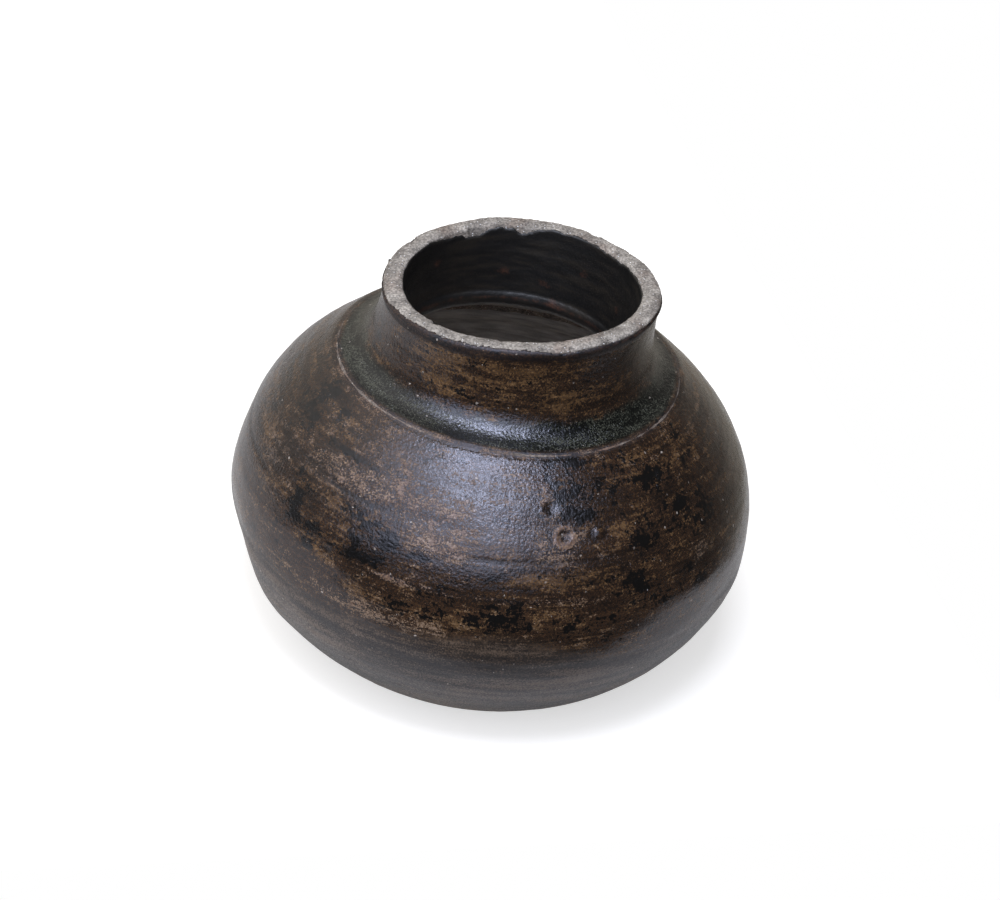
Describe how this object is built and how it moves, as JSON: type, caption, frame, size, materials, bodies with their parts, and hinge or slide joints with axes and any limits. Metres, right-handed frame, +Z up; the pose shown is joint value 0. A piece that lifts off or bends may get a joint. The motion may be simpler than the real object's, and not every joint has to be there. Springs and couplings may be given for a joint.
{
  "type": "pottery jar",
  "caption": "Squat round-bodied stoneware jar with a ringed shoulder, short open neck, bare rim and mottled brown-black glaze.",
  "frame": {"origin": "centre of the flat base, on the surface that the jar stands on", "axes": "+Z up along the axis that the body was thrown about; +X to the right as pictured, which is the side where the rim stands highest; +Y away from the viewer"},
  "size_m": [0.1202, 0.1196, 0.093],
  "materials": {
    "body_stoneware": "matte",
    "rim_stoneware": "matte",
    "clay_slip": "matte",
    "mottled_brown_black_glaze": "satin",
    "lining_glaze": "satin"
  },
  "bodies": {
    "root": {"lower_body": "body_stoneware", "girth_slip": "clay_slip", "shoulder": "body_stoneware", "neck_slip": "clay_slip", "neck": "rim_stoneware", "outer_glaze": "mottled_brown_black_glaze", "inner_glaze": "lining_glaze"}
  },
  "joints": []
}
